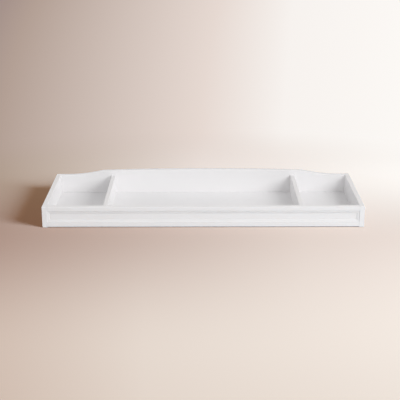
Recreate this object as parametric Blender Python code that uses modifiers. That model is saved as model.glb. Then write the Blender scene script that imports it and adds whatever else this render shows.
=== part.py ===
"""Changing table topper: a white painted wooden tray in three bays, with a shaped back.

Metres, +Z up. The tray's front faces -Y and its length runs along X. The origin is on the
surface that it stands on, under the middle of the whole part with its brackets.
Run it with: blender --background --python part.py
"""

import math

import bmesh
import bpy
from mathutils import Matrix, Vector

# The whole tray
TRAY_WIDTH = 1.372
TRAY_DEPTH = 0.483
TRAY_HEIGHT = 0.0925
PAD_BAY_WIDTH = 0.817
LIFT = 0.0022  # the boards between the two ends hang this far above the surface
GAP = 0.0003  # air between pieces that touch
OVERRUN = 0.004  # how far a cutter reaches past the face that it opens

# Board thicknesses and their eased edges
END_THICKNESS = 0.021
DIVIDER_THICKNESS = 0.019
BACK_THICKNESS = 0.022
BOTTOM_THICKNESS = 0.006
EDGE_RADIUS = 0.0025
EDGE_SEGMENTS = 3

# The shaped top of the back, as rises above the tray's height
CROWN_RISE = 0.0275
SHOULDER_RISE = 0.0205
SHOULDER_INSET = 0.219  # from the tray's end to the shoulder
SWEEP_LENGTH = 0.170  # the hollow sweep outside each shoulder
SHOULDER_SOFTNESS = 0.0006
SWEEP_STEPS = 12
CROWN_STEPS = 14

# The front frame and the panel that it holds
RAIL_THICKNESS = 0.0235
TOP_RAIL_HEIGHT = 0.0185
BOTTOM_RAIL_HEIGHT = 0.020
PANEL_THICKNESS = 0.012
PANEL_RECESS = 0.006
GROOVE_DEPTH = 0.004

# The bead moulding round the panel
BEAD_WIDTH = 0.0105
BEAD_FILLET = 0.0025
BEAD_QUIRK = 0.0018  # how far the bead starts behind the rail's face
BEAD_STEPS = 6

# The rebate that the bottom lies in
REBATE_DEPTH = 0.008

# Dowels
DOWEL_RADIUS = 0.004
DOWEL_CHAMFER = 0.0008
DOWEL_SIDES = 12
RAIL_DOWEL_LENGTH = 0.036
BACK_DOWEL_LENGTH = 0.030
DOWEL_SEAT = 0.012  # how deep a dowel sits in the board that carries it
BACK_DOWEL_HEIGHT_SHARE = 0.52

# Countersunk screws through the back
BACK_SCREW_LENGTH = 0.050
BACK_SCREW_RADIUS = 0.0020
BACK_SCREW_HEAD_RADIUS = 0.0042
BACK_SCREW_HEIGHT_SHARES = (0.24, 0.80)

# Countersunk screws through the bottom
EDGE_SCREW_LENGTH = 0.012
EDGE_SCREW_INSET = 0.003  # from the inner face of the board that it goes into
DIVIDER_SCREW_LENGTH = 0.030
BOTTOM_SCREW_RADIUS = 0.0016
BOTTOM_SCREW_HEAD_RADIUS = 0.0034
SCREW_SIDES = 10
LONG_EDGE_SCREW_SHARES = (-0.80, 0.0, 0.80)
SHORT_EDGE_SCREW_SHARE = 0.50
DIVIDER_SCREW_SHARES = (0.16, 0.80)
TIP_SHARE = 0.16
RECESS_REACH_SHARE = 0.62
RECESS_ARM_SHARE = 0.20
RECESS_DEPTH_SHARE = 0.60

# Steel brackets that hold the tray down, and their screws
BRACKET_LEG = 0.038
BRACKET_FOOT = 0.019
BRACKET_WIDTH = 0.016
BRACKET_THICKNESS = 0.002
BRACKET_BEND = 0.002
BRACKET_BEND_STEPS = 4
BRACKET_INSET = 0.226  # from the tray's end to the bracket's middle
BRACKET_HOLE_RADIUS = 0.0023
BRACKET_HOLE_SHARES = (0.45, 0.82)
FOOT_HOLE_SHARE = 0.64
BRACKET_SCREW_LENGTH = 0.016
BRACKET_SCREW_RADIUS = 0.0019
BRACKET_HEAD_RADIUS = 0.0038
BRACKET_HEAD_HEIGHT = 0.0022
HEAD_STEPS = 4

# Pads under the bottom
PAD_RADIUS = 0.010
PAD_SIDES = 20
PAD_COLUMN_SHARES = (-0.62, 0.0, 0.62)
PAD_ROW_SHARES = (0.25, 0.75)

# Finishes: colour, roughness, metallic
WHITE_PAINT = ((0.80, 0.79, 0.79), 0.38, 0.0)
BARE_BEECH = ((0.62, 0.44, 0.27), 0.65, 0.0)
ZINC_STEEL = ((0.60, 0.60, 0.58), 0.35, 1.0)
CLEAR_RUBBER = ((0.70, 0.70, 0.68), 0.55, 0.0)

# Places that several pieces share
HALF_WIDTH = TRAY_WIDTH / 2
INSIDE = HALF_WIDTH - END_THICKNESS
DIVIDER_X = (PAD_BAY_WIDTH + DIVIDER_THICKNESS) / 2
SHOULDER_X = HALF_WIDTH - SHOULDER_INSET
BRACKET_X = HALF_WIDTH - BRACKET_INSET
REACH = GAP + BRACKET_FOOT
FRONT_Y = -(TRAY_DEPTH + REACH) / 2
REAR_Y = FRONT_Y + TRAY_DEPTH
BACK_Y = REAR_Y - BACK_THICKNESS  # the back's inner face
RAIL_BACK_Y = FRONT_Y + RAIL_THICKNESS
PANEL_Y = FRONT_Y + PANEL_RECESS
PANEL_BACK_Y = PANEL_Y + PANEL_THICKNESS
OPENING_LOW = LIFT + BOTTOM_RAIL_HEIGHT
OPENING_HIGH = TRAY_HEIGHT - TOP_RAIL_HEIGHT
BOTTOM_TOP = LIFT + BOTTOM_THICKNESS
REBATE_TOP = BOTTOM_TOP + GAP
TOP_DOWEL_Z = (TRAY_HEIGHT + OPENING_HIGH + GROOVE_DEPTH) / 2
LOW_DOWEL_Z = (LIFT + OPENING_LOW - GROOVE_DEPTH) / 2
LOW_DOWEL_Y = (FRONT_Y + RAIL_BACK_Y - REBATE_DEPTH) / 2
TOP_DOWEL_Y = (FRONT_Y + RAIL_BACK_Y) / 2
BACK_BOARD_HEIGHT = TRAY_HEIGHT - LIFT
SIDES = (("left", -1), ("right", 1))

# Points closer than this are one point, and a coordinate smaller than this is zero
NEAR = 1e-6


def clear_scene():
    for thing in list(bpy.data.objects):
        bpy.data.objects.remove(thing, do_unlink=True)


def new_collection(name):
    collection = bpy.data.collections.new(name)
    bpy.context.scene.collection.children.link(collection)
    return collection


clear_scene()
PARTS = new_collection("changing_table_topper")
CUTTERS = new_collection("cutters")

ROOT = bpy.data.objects.new("topper_root", None)
PARTS.objects.link(ROOT)


# Helpers: objects, finishes, cuts


def finish_of(name, finish):
    """A material of the object's own, with one of the finishes above."""
    colour, roughness, metallic = finish
    material = bpy.data.materials.new(name + "_finish")
    material.use_nodes = True
    shader = material.node_tree.nodes["Principled BSDF"]
    shader.inputs["Base Color"].default_value = (*colour, 1.0)
    shader.inputs["Roughness"].default_value = roughness
    shader.inputs["Metallic"].default_value = metallic
    material.diffuse_color = (*colour, 1.0)
    return material


def part(name, mesh, place, finish, turn=(0.0, 0.0, 0.0), smooth=False):
    """A sub-part: its mesh at its place, with its own material."""
    thing = bpy.data.objects.new(name, mesh)
    thing.location = place
    thing.rotation_euler = turn
    thing.parent = ROOT
    mesh.materials.append(finish_of(name, finish))
    if smooth:
        mesh.shade_smooth()
        mesh.set_sharp_from_angle(angle=math.radians(35))
    PARTS.objects.link(thing)
    return thing


def cutter(name, mesh, place=(0.0, 0.0, 0.0)):
    thing = bpy.data.objects.new(name, mesh)
    thing.location = place
    thing.hide_render = True
    thing.display_type = "WIRE"
    CUTTERS.objects.link(thing)
    return thing


def cut(thing, *tools):
    for tool in tools:
        change = thing.modifiers.new(tool.name, "BOOLEAN")
        change.operation = "DIFFERENCE"
        change.object = tool


def mesh_of(name, form):
    mesh = bpy.data.meshes.new(name)
    form.to_mesh(mesh)
    form.free()
    return mesh


def box_form(size):
    form = bmesh.new()
    bmesh.ops.create_cube(form, size=1.0)
    bmesh.ops.scale(form, vec=size, verts=form.verts)
    return form


def ease(form, wanted):
    """Rounds the edges whose middle point, as signs from the board's centre, is wanted."""
    chosen = []
    for edge in form.edges:
        middle = (edge.verts[0].co + edge.verts[1].co) / 2
        signs = tuple((c > NEAR) - (c < -NEAR) for c in middle)
        if wanted(*signs):
            chosen.append(edge)
    bmesh.ops.bevel(
        form,
        geom=chosen,
        offset=EDGE_RADIUS,
        segments=EDGE_SEGMENTS,
        profile=0.5,
        affect="EDGES",
    )


def board(name, low, high, finish, wanted=None):
    """A straight board between two corners, with the wanted edges eased."""
    low, high = Vector(low), Vector(high)
    form = box_form(high - low)
    if wanted:
        ease(form, wanted)
    return part(name, mesh_of(name, form), (low + high) / 2, finish)


def slot(name, low, high):
    """A box-shaped cutter between two corners."""
    low, high = Vector(low), Vector(high)
    return cutter(name, mesh_of(name, box_form(high - low)), (low + high) / 2)


def evaluated_mesh(thing, name):
    """The object's mesh with its modifiers, or a curve's filled shape with its caps welded."""
    graph = bpy.context.evaluated_depsgraph_get()
    mesh = bpy.data.meshes.new_from_object(thing.evaluated_get(graph))
    mesh.name = name
    form = bmesh.new()
    form.from_mesh(mesh)
    bmesh.ops.remove_doubles(form, verts=form.verts, dist=NEAR)
    form.to_mesh(mesh)
    form.free()
    bpy.data.objects.remove(thing, do_unlink=True)
    return mesh


def flat_mesh(name, outline, thickness, edge_radius=0.0, edge_steps=0):
    """A flat shape in its XY plane, as thick as given along Z about its middle."""
    curve = bpy.data.curves.new(name, "CURVE")
    curve.dimensions = "2D"
    curve.fill_mode = "BOTH"
    curve.extrude = thickness / 2 - edge_radius
    curve.bevel_depth = edge_radius
    curve.offset = -edge_radius
    curve.bevel_resolution = edge_steps
    line = curve.splines.new("POLY")
    line.points.add(len(outline) - 1)
    for point, (x, y) in zip(line.points, outline):
        point.co = (x, y, 0.0, 1.0)
    line.use_cyclic_u = True
    guide = bpy.data.objects.new(name + "_outline", curve)
    CUTTERS.objects.link(guide)
    return evaluated_mesh(guide, name)


def turned_mesh(name, profile, sides):
    """A profile of (radius, height) points, from the top down, turned round Z."""
    line = bpy.data.meshes.new(name + "_profile")
    points = [(radius, 0.0, height) for radius, height in profile]
    line.from_pydata(points, [(i, i + 1) for i in range(len(points) - 1)], [])
    guide = bpy.data.objects.new(name + "_profile", line)
    CUTTERS.objects.link(guide)
    turning = guide.modifiers.new("turning", "SCREW")
    turning.steps = sides
    turning.render_steps = sides
    turning.use_merge_vertices = True
    turning.merge_threshold = NEAR
    return evaluated_mesh(guide, name)


def pointing(place, direction):
    """A frame at a place whose Z axis points along a direction."""
    turn = Vector(direction).to_track_quat("Z", "Y").to_matrix().to_4x4()
    return Matrix.Translation(place) @ turn


def copies(mesh, frames, finish):
    """Repeated small pieces: a sub-part of its own for each named frame."""
    for name, frame in frames.items():
        place, turn = frame.to_translation(), frame.to_euler()
        part(name, mesh.copy(), place, finish, turn, smooth=True)


def group_cutter(name, mesh, frames):
    """One cutter that holds a copy of a small mesh in each frame."""
    form = bmesh.new()
    for frame in frames:
        copy = mesh.copy()
        copy.transform(frame)
        form.from_mesh(copy)
        bpy.data.meshes.remove(copy)
    return cutter(name, mesh_of(name, form))


# The boards


def end_panels():
    """The two ends: they stand on the surface, and their front edges frame the front."""
    made = []
    for side, sign in SIDES:
        outer, inner = sign * HALF_WIDTH, sign * INSIDE
        low = (min(outer, inner), FRONT_Y, 0.0)
        high = (max(outer, inner), BACK_Y - GAP, TRAY_HEIGHT)
        inner_front = (-sign, -1)  # this edge stays square against the rails
        end = board(
            side + "_end_panel",
            low,
            high,
            WHITE_PAINT,
            lambda x, y, z: y <= 0 and (x, y) != inner_front,
        )
        groove = sorted((inner - sign * OVERRUN, inner + sign * (GROOVE_DEPTH + GAP)))
        rebate = sorted((inner - sign * OVERRUN, inner + sign * REBATE_DEPTH))
        cut(
            end,
            slot(
                side + "_end_groove",
                (groove[0], PANEL_Y - GAP, OPENING_LOW - GROOVE_DEPTH - GAP),
                (groove[1], PANEL_BACK_Y + GAP, OPENING_HIGH + GROOVE_DEPTH + GAP),
            ),
            slot(
                side + "_end_rebate",
                (rebate[0], RAIL_BACK_Y - REBATE_DEPTH, -OVERRUN),
                (rebate[1], BACK_Y + OVERRUN, REBATE_TOP),
            ),
        )
        made.append(end)
    return made


def crown_height(x):
    """The back's top edge at a distance from the middle, as a rise above the ends."""
    from_flat = SHOULDER_X + SWEEP_LENGTH - abs(x)
    if from_flat <= 0:
        return 0.0
    sweep = SHOULDER_RISE * (from_flat / SWEEP_LENGTH) ** 2
    crown = CROWN_RISE - (CROWN_RISE - SHOULDER_RISE) * (x / SHOULDER_X) ** 2
    # The lower of the two curves, with the corner between them softened
    return (sweep + crown - math.hypot(sweep - crown, SHOULDER_SOFTNESS)) / 2


def crown_stations():
    """Distances from the middle to the right end of the shaped edge."""
    crown = [SHOULDER_X * i / CROWN_STEPS for i in range(CROWN_STEPS)]
    sweep = [SHOULDER_X + SWEEP_LENGTH * i / SWEEP_STEPS for i in range(SWEEP_STEPS + 1)]
    return crown + sweep


def back_panel():
    """The back stands behind the ends, and its top rises in two sweeps to a low crown."""
    right = [(x, BACK_BOARD_HEIGHT + max(crown_height(x), 0.0)) for x in crown_stations()]
    right.append((HALF_WIDTH, BACK_BOARD_HEIGHT))
    left = [(-x, z) for x, z in reversed(right) if x > NEAR]
    outline = [(-HALF_WIDTH, 0.0), (HALF_WIDTH, 0.0)] + right[::-1] + left[::-1]
    mesh = flat_mesh("back_panel", outline, BACK_THICKNESS, EDGE_RADIUS, EDGE_SEGMENTS - 1)
    middle = (0.0, (BACK_Y + REAR_Y) / 2, LIFT)
    back = part("back_panel", mesh, middle, WHITE_PAINT, turn=(math.radians(90), 0.0, 0.0))
    rebate_x = INSIDE + REBATE_DEPTH
    cut(
        back,
        slot(
            "back_rebate",
            (-rebate_x, BACK_Y - OVERRUN, -OVERRUN),
            (rebate_x, BACK_Y + REBATE_DEPTH, REBATE_TOP),
        ),
    )
    return back


def front_rails():
    """The top and bottom rails, grooved for the panel between them."""
    reach = INSIDE - GAP
    top = board(
        "front_top_rail",
        (-reach, FRONT_Y, OPENING_HIGH),
        (reach, RAIL_BACK_Y, TRAY_HEIGHT),
        WHITE_PAINT,
        lambda x, y, z: x == 0 and z > 0,
    )
    low = board(
        "front_bottom_rail",
        (-reach, FRONT_Y, LIFT),
        (reach, RAIL_BACK_Y, OPENING_LOW),
        WHITE_PAINT,
        lambda x, y, z: x == 0 and y < 0 and z < 0,
    )
    long_reach = reach + OVERRUN
    cut(
        top,
        slot(
            "top_rail_groove",
            (-long_reach, PANEL_Y - GAP, OPENING_HIGH - OVERRUN),
            (long_reach, PANEL_BACK_Y + GAP, OPENING_HIGH + GROOVE_DEPTH + GAP),
        ),
    )
    cut(
        low,
        slot(
            "bottom_rail_groove",
            (-long_reach, PANEL_Y - GAP, OPENING_LOW - GROOVE_DEPTH - GAP),
            (long_reach, PANEL_BACK_Y + GAP, OPENING_LOW + OVERRUN),
        ),
        slot(
            "bottom_rail_rebate",
            (-long_reach, RAIL_BACK_Y - REBATE_DEPTH, LIFT - OVERRUN),
            (long_reach, RAIL_BACK_Y + OVERRUN, REBATE_TOP),
        ),
    )
    return top, low


def front_panel():
    """The flat panel, whose four edges sit in the grooves."""
    reach = INSIDE + GROOVE_DEPTH
    board(
        "front_panel",
        (-reach, PANEL_Y, OPENING_LOW - GROOVE_DEPTH),
        (reach, PANEL_BACK_Y, OPENING_HIGH + GROOVE_DEPTH),
        WHITE_PAINT,
    )


def bead_outline():
    """The bead's section: across from the rail's edge, and back from the rail's face."""
    base = PANEL_RECESS - GAP
    across, rise = BEAD_WIDTH - BEAD_FILLET, base - BEAD_QUIRK
    turns = [math.radians(90) * i / BEAD_STEPS for i in range(BEAD_STEPS + 1)]
    arc = [(BEAD_FILLET + across * math.sin(t), base - rise * math.cos(t)) for t in turns]
    return [(0.0, base), (0.0, BEAD_QUIRK)] + arc


def bead_mesh(name, length):
    """A bead as long as the rail's edge, mitred at both ends."""
    mesh = flat_mesh(name, bead_outline(), length)
    form = bmesh.new()
    form.from_mesh(mesh)
    for end in (-1, 1):
        cut_here = bmesh.ops.bisect_plane(
            form,
            geom=form.verts[:] + form.edges[:] + form.faces[:],
            dist=NEAR,
            plane_co=(0.0, 0.0, end * length / 2),
            plane_no=(1.0, 0.0, end),
            clear_outer=True,
        )
        rim = [item for item in cut_here["geom_cut"] if isinstance(item, bmesh.types.BMEdge)]
        bmesh.ops.contextual_create(form, geom=rim)
    bmesh.ops.recalc_face_normals(form, faces=form.faces)
    form.to_mesh(mesh)
    form.free()
    return mesh


def beads():
    """Four mitred strips of bead moulding, in front of the panel."""
    edge_x, low, high = INSIDE - GAP, OPENING_LOW + GAP, OPENING_HIGH - GAP
    middle = (low + high) / 2
    wide, tall = 2 * (edge_x - GAP), high - low - 2 * GAP
    strips = (
        ("front_bead_top", wide, (0.0, FRONT_Y, high), 90),
        ("front_bead_bottom", wide, (0.0, FRONT_Y, low), -90),
        ("front_bead_left", tall, (-edge_x, FRONT_Y, middle), 0),
        ("front_bead_right", tall, (edge_x, FRONT_Y, middle), 180),
    )
    for name, length, place, degrees in strips:
        turn = (0.0, math.radians(degrees), 0.0)
        part(name, bead_mesh(name, length), place, WHITE_PAINT, turn)


def dividers():
    """The two boards that part the pad's bay from the side bays."""
    made = []
    for side, sign in SIDES:
        middle = sign * DIVIDER_X
        made.append(
            board(
                side + "_divider",
                (middle - DIVIDER_THICKNESS / 2, RAIL_BACK_Y + GAP, BOTTOM_TOP + GAP),
                (middle + DIVIDER_THICKNESS / 2, BACK_Y - GAP, TRAY_HEIGHT),
                WHITE_PAINT,
                lambda x, y, z: y == 0 and z > 0,
            )
        )
    return made


def bottom_panel():
    """The thin bottom lies in a rebate all round, under the dividers."""
    reach = INSIDE + REBATE_DEPTH - GAP
    return board(
        "bottom_panel",
        (-reach, RAIL_BACK_Y - REBATE_DEPTH + GAP, LIFT),
        (reach, BACK_Y + REBATE_DEPTH - GAP, BOTTOM_TOP),
        WHITE_PAINT,
    )


# The joinery


def dowel_profile(length, clearance=0.0):
    """A dowel along Z about its middle, or the hole that takes it."""
    radius, half = DOWEL_RADIUS + clearance, length / 2 + clearance
    chamfer = 0.0 if clearance else DOWEL_CHAMFER
    corners = [(radius - chamfer, half), (radius, half - chamfer)]
    if not chamfer:
        corners = corners[:1]
    lower = [(r, -z) for r, z in reversed(corners)]
    return [(0.0, half)] + corners + lower + [(0.0, -half)]


def dowels(kind, length, places, direction, boards):
    """Dowels at named places, and their holes in the boards that they join."""
    frames = {name: pointing(place, direction) for name, place in places.items()}
    peg = turned_mesh(kind, dowel_profile(length), DOWEL_SIDES)
    hole = turned_mesh(kind + "_hole", dowel_profile(length, GAP), DOWEL_SIDES)
    copies(peg, frames, BARE_BEECH)
    holes = group_cutter(kind + "_holes", hole, frames.values())
    for thing in boards:
        cut(thing, holes)


def countersunk_profile(length, radius, head_radius, clearance=0.0):
    """A flat-head screw that points down, its head's top at zero, or its hole."""
    shank, head = radius + clearance, head_radius + clearance
    cone = head_radius - radius
    tip = length * TIP_SHARE
    lower = [(head, 0.0), (shank, -cone), (shank, tip - length), (0.0, -length - clearance)]
    if clearance:
        return [(0.0, OVERRUN), (head, OVERRUN)] + lower
    return [(0.0, 0.0)] + lower


def cross_recess(name, head_radius):
    """The cross that a screwdriver fits, as a cutter's mesh with its top above the head."""
    reach, arm = head_radius * RECESS_REACH_SHARE, head_radius * RECESS_ARM_SHARE
    quarter = [(arm, arm), (arm, reach), (-arm, reach)]
    outline = []
    for quarters in range(4):
        turn = Matrix.Rotation(math.radians(90 * quarters), 2)
        outline += [tuple(turn @ Vector(point)) for point in quarter]
    depth = head_radius * RECESS_DEPTH_SHARE
    return flat_mesh(name, outline, 2 * depth)


def crossed_screw(kind, profile, head_radius, head_top):
    """A screw's mesh, with the cross cut into its head."""
    screw = bpy.data.objects.new(kind, turned_mesh(kind, profile, SCREW_SIDES))
    CUTTERS.objects.link(screw)
    lifted = Matrix.Translation((0.0, 0.0, head_top))
    cut(screw, group_cutter(kind + "_cross", cross_recess(kind + "_cross", head_radius), [lifted]))
    return evaluated_mesh(screw, kind)


def screws(kind, screw, hole_profile, frames, boards):
    """Screws in named frames, and their holes in the boards."""
    copies(screw, frames, ZINC_STEEL)
    hole = turned_mesh(kind + "_hole", hole_profile, SCREW_SIDES)
    holes = group_cutter(kind + "_holes", hole, frames.values())
    for thing in boards:
        cut(thing, holes)


def countersunk_screws(kind, length, radius, head_radius, frames, boards):
    sizes = (length, radius, head_radius)
    screw = crossed_screw(kind, countersunk_profile(*sizes), head_radius, 0.0)
    screws(kind, screw, countersunk_profile(*sizes, GAP), frames, boards)


def join_front(ends, rails, partitions):
    """Dowels glue the rails to the ends and to the dividers."""
    seat_x = INSIDE + DOWEL_SEAT - RAIL_DOWEL_LENGTH / 2
    places = {}
    for side, sign in SIDES:
        places[side + "_front_upper_dowel"] = (sign * seat_x, TOP_DOWEL_Y, TOP_DOWEL_Z)
        places[side + "_front_lower_dowel"] = (sign * seat_x, LOW_DOWEL_Y, LOW_DOWEL_Z)
    boards = [*ends, *rails]
    dowels("rail_dowel", RAIL_DOWEL_LENGTH, places, (1.0, 0.0, 0.0), boards)
    seat_y = RAIL_BACK_Y - DOWEL_SEAT + BACK_DOWEL_LENGTH / 2
    places = {
        side + "_divider_front_dowel": (sign * DIVIDER_X, seat_y, TOP_DOWEL_Z)
        for side, sign in SIDES
    }
    boards = [rails[0], *partitions]
    dowels("divider_dowel", BACK_DOWEL_LENGTH, places, (0.0, 1.0, 0.0), boards)


def join_back(ends, back, partitions):
    """Two screws and a dowel at each end and divider, put in from behind."""
    joints = (("end", HALF_WIDTH - END_THICKNESS / 2, ends), ("divider", DIVIDER_X, partitions))
    seat_y = BACK_Y + DOWEL_SEAT - BACK_DOWEL_LENGTH / 2
    dowel_z = LIFT + BACK_BOARD_HEIGHT * BACK_DOWEL_HEIGHT_SHARE
    sizes = (BACK_SCREW_LENGTH, BACK_SCREW_RADIUS, BACK_SCREW_HEAD_RADIUS)
    for kind, x, joined in joints:
        places, frames = {}, {}
        for side, sign in SIDES:
            name = side + "_" + kind
            places[name + "_back_dowel"] = (sign * x, seat_y, dowel_z)
            for level, share in zip(("lower", "upper"), BACK_SCREW_HEIGHT_SHARES):
                seat = (sign * x, REAR_Y, LIFT + BACK_BOARD_HEIGHT * share)
                frames[name + "_" + level + "_screw"] = pointing(seat, (0.0, 1.0, 0.0))
        boards = [back, *joined]
        dowels(kind + "_back_dowel", BACK_DOWEL_LENGTH, places, (0.0, 1.0, 0.0), boards)
        countersunk_screws(kind + "_back_screw", *sizes, frames, boards)


def join_bottom(ends, back, low_rail, partitions, bottom):
    """Short screws hold the bottom in its rebate, and long ones reach into the dividers."""
    rail_y = RAIL_BACK_Y - EDGE_SCREW_INSET
    back_y = BACK_Y + EDGE_SCREW_INSET
    end_x = INSIDE + EDGE_SCREW_INSET
    inner_length = BACK_Y - RAIL_BACK_Y
    sizes = (BOTTOM_SCREW_RADIUS, BOTTOM_SCREW_HEAD_RADIUS)
    edge, partition = {}, {}
    for row, y in (("front", rail_y), ("back", back_y)):
        for count, share in enumerate(LONG_EDGE_SCREW_SHARES, start=1):
            edge[f"bottom_{row}_screw_{count}"] = (share * INSIDE, y)
    for side, sign in SIDES:
        middle_y = RAIL_BACK_Y + SHORT_EDGE_SCREW_SHARE * inner_length
        edge[side + "_bottom_screw"] = (sign * end_x, middle_y)
        for row, share in zip(("front", "back"), DIVIDER_SCREW_SHARES):
            place = (sign * DIVIDER_X, RAIL_BACK_Y + share * inner_length)
            partition[f"{side}_divider_{row}_bottom_screw"] = place
    for kind, length, places, boards in (
        ("bottom_edge_screw", EDGE_SCREW_LENGTH, edge, [bottom, low_rail, back, *ends]),
        ("divider_bottom_screw", DIVIDER_SCREW_LENGTH, partition, [bottom, *partitions]),
    ):
        frames = {
            name: pointing((x, y, LIFT), (0.0, 0.0, -1.0)) for name, (x, y) in places.items()
        }
        countersunk_screws(kind, length, *sizes, frames, boards)


# The fixings and pads


def bracket_outline():
    """The bracket from its side: the leg stands at zero, and the foot runs back from it."""
    steps = [math.radians(90) * i / BRACKET_BEND_STEPS for i in range(BRACKET_BEND_STEPS + 1)]
    outer = BRACKET_BEND + BRACKET_THICKNESS
    heel = [(outer - outer * math.cos(t), outer - outer * math.sin(t)) for t in steps]
    inner = [(outer - BRACKET_BEND * math.cos(t), outer - BRACKET_BEND * math.sin(t)) for t in steps]
    toe = [(BRACKET_FOOT, 0.0), (BRACKET_FOOT, BRACKET_THICKNESS)]
    head = [(BRACKET_THICKNESS, BRACKET_LEG), (0.0, BRACKET_LEG)]
    return heel + toe + inner[::-1] + head


def head_profile(clearance=0.0):
    """A round-head screw that points down, its head's underside at zero, or its hole."""
    shank = BRACKET_SCREW_RADIUS + clearance
    tip = BRACKET_SCREW_LENGTH * TIP_SHARE
    lower = [(shank, tip - BRACKET_SCREW_LENGTH), (0.0, -BRACKET_SCREW_LENGTH - clearance)]
    if clearance:
        return [(0.0, OVERRUN), (shank, OVERRUN)] + lower
    turns = [math.radians(90) * i / HEAD_STEPS for i in range(HEAD_STEPS + 1)]
    dome = [(BRACKET_HEAD_RADIUS * math.sin(t), BRACKET_HEAD_HEIGHT * math.cos(t)) for t in turns]
    return dome + [(shank, 0.0)] + lower


def brackets(back):
    """Two steel angles behind the back, which screw the tray down to what it stands on."""
    leg_y = REAR_Y + GAP
    hole_sides = 2 * SCREW_SIDES
    length = BRACKET_THICKNESS + OVERRUN
    ends = [(BRACKET_HOLE_RADIUS, length), (BRACKET_HOLE_RADIUS, -length)]
    bore = turned_mesh("bracket_bore", [(0.0, length), *ends, (0.0, -length)], hole_sides)
    heights = [BRACKET_LEG * share for share in BRACKET_HOLE_SHARES]
    foot_y = leg_y + BRACKET_FOOT * FOOT_HOLE_SHARE
    backward, upward = (0.0, 1.0, 0.0), (0.0, 0.0, 1.0)
    frames = {}
    for side, sign in SIDES:
        x = sign * BRACKET_X
        mesh = flat_mesh(side + "_bracket", bracket_outline(), BRACKET_WIDTH)
        turn = (math.radians(90), 0.0, math.radians(90))
        bracket = part(side + "_bracket", mesh, (x, leg_y, 0.0), ZINC_STEEL, turn)
        bores = [pointing((x, leg_y, z), backward) for z in heights]
        bores.append(pointing((x, foot_y, 0.0), upward))
        cut(bracket, group_cutter(side + "_bracket_bores", bore, bores))
        seat_y = leg_y + BRACKET_THICKNESS + GAP
        for level, z in zip(("lower", "upper"), heights):
            frames[f"{side}_bracket_{level}_screw"] = pointing((x, seat_y, z), backward)
    kind = "bracket_screw"
    screw = crossed_screw(kind, head_profile(), BRACKET_HEAD_RADIUS, BRACKET_HEAD_HEIGHT)
    screws(kind, screw, head_profile(GAP), frames, [back])


def underside_pads():
    """Thin rubber discs that carry the pad bay's floor."""
    disc = [(0.0, LIFT - GAP), (PAD_RADIUS, LIFT - GAP), (PAD_RADIUS, 0.0), (0.0, 0.0)]
    mesh = turned_mesh("pad_disc", disc, PAD_SIDES)
    inner_length = BACK_Y - RAIL_BACK_Y
    spots = [
        (x * PAD_BAY_WIDTH / 2, RAIL_BACK_Y + y * inner_length, 0.0)
        for y in PAD_ROW_SHARES
        for x in PAD_COLUMN_SHARES
    ]
    frames = {
        f"underside_pad_{count}": Matrix.Translation(spot)
        for count, spot in enumerate(spots, start=1)
    }
    copies(mesh, frames, CLEAR_RUBBER)


def main():
    ends = end_panels()
    back = back_panel()
    rails = front_rails()
    front_panel()
    beads()
    partitions = dividers()
    bottom = bottom_panel()
    join_front(ends, rails, partitions)
    join_back(ends, back, partitions)
    join_bottom(ends, back, rails[1], partitions, bottom)
    brackets(back)
    underside_pads()


main()
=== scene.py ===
# %% [markdown]
# # A changing table topper, board by board
#
# This lesson dresses a white painted tray that stands on a dresser and makes it a changing
# table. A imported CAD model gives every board, screw and dowel its size and place. Here each
# of them is modelled again as a woodworker would meet it, with softened edges, a threaded
# screw, a fluted dowel, and a paint that shows a trace of the brush.
#
# The first step loads the CAD model as a fixed frame. All lengths are in metres, +X runs to
# the right along the tray, +Y to the back and +Z up, and the tray stands at z = 0.

# %% Load the frame
import math

import bmesh
import bpy
from mathutils import Matrix, Vector


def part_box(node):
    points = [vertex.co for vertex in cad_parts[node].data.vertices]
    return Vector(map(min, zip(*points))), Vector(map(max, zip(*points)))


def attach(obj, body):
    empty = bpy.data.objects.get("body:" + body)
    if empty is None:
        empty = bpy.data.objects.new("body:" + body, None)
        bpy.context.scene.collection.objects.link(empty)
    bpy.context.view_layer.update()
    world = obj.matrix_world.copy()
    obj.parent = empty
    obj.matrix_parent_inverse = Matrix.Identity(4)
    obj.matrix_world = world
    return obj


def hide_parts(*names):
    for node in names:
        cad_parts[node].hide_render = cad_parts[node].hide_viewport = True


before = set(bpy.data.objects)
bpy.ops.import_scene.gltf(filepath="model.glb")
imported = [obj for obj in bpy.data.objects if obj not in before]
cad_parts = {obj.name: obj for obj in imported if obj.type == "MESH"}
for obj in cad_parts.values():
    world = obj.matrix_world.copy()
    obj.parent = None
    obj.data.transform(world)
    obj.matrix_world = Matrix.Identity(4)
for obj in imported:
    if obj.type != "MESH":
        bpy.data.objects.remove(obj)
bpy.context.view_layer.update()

GAP = 0.0003  # the air that the CAD model keeps between pieces that touch
scene = bpy.context.scene

# %% [markdown]
# ## The camera
#
# The photograph looks down on the tray from the front with a long lens, so its sides hardly
# converge. A camera can be set by eye against a background image, or from angles that were
# measured in the picture. Measured angles are used here, because a long lens makes a small
# error in height or tilt show as a wrong slope on every board.

# %% Place the camera
LENS = 87.74  # millimetres, on Blender's 36 mm sensor
CAMERA_PLACE = (-0.0155, -4.159, 1.4290)
LOOK_DOWN, TURN, TILT = math.radians(18.482), math.radians(-0.025), math.radians(0.08)

camera_data = bpy.data.cameras.new("photo_camera")
camera_data.lens = LENS
camera = bpy.data.objects.new("photo_camera", camera_data)
scene.collection.objects.link(camera)
level = Matrix.Rotation(TURN, 4, "Z") @ Matrix.Rotation(math.radians(90) - LOOK_DOWN, 4, "X")
camera.matrix_world = Matrix.Translation(CAMERA_PLACE) @ level @ Matrix.Rotation(-TILT, 4, "Z")
scene.camera = camera
print("camera height over the surface:", camera.location.z)

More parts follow.
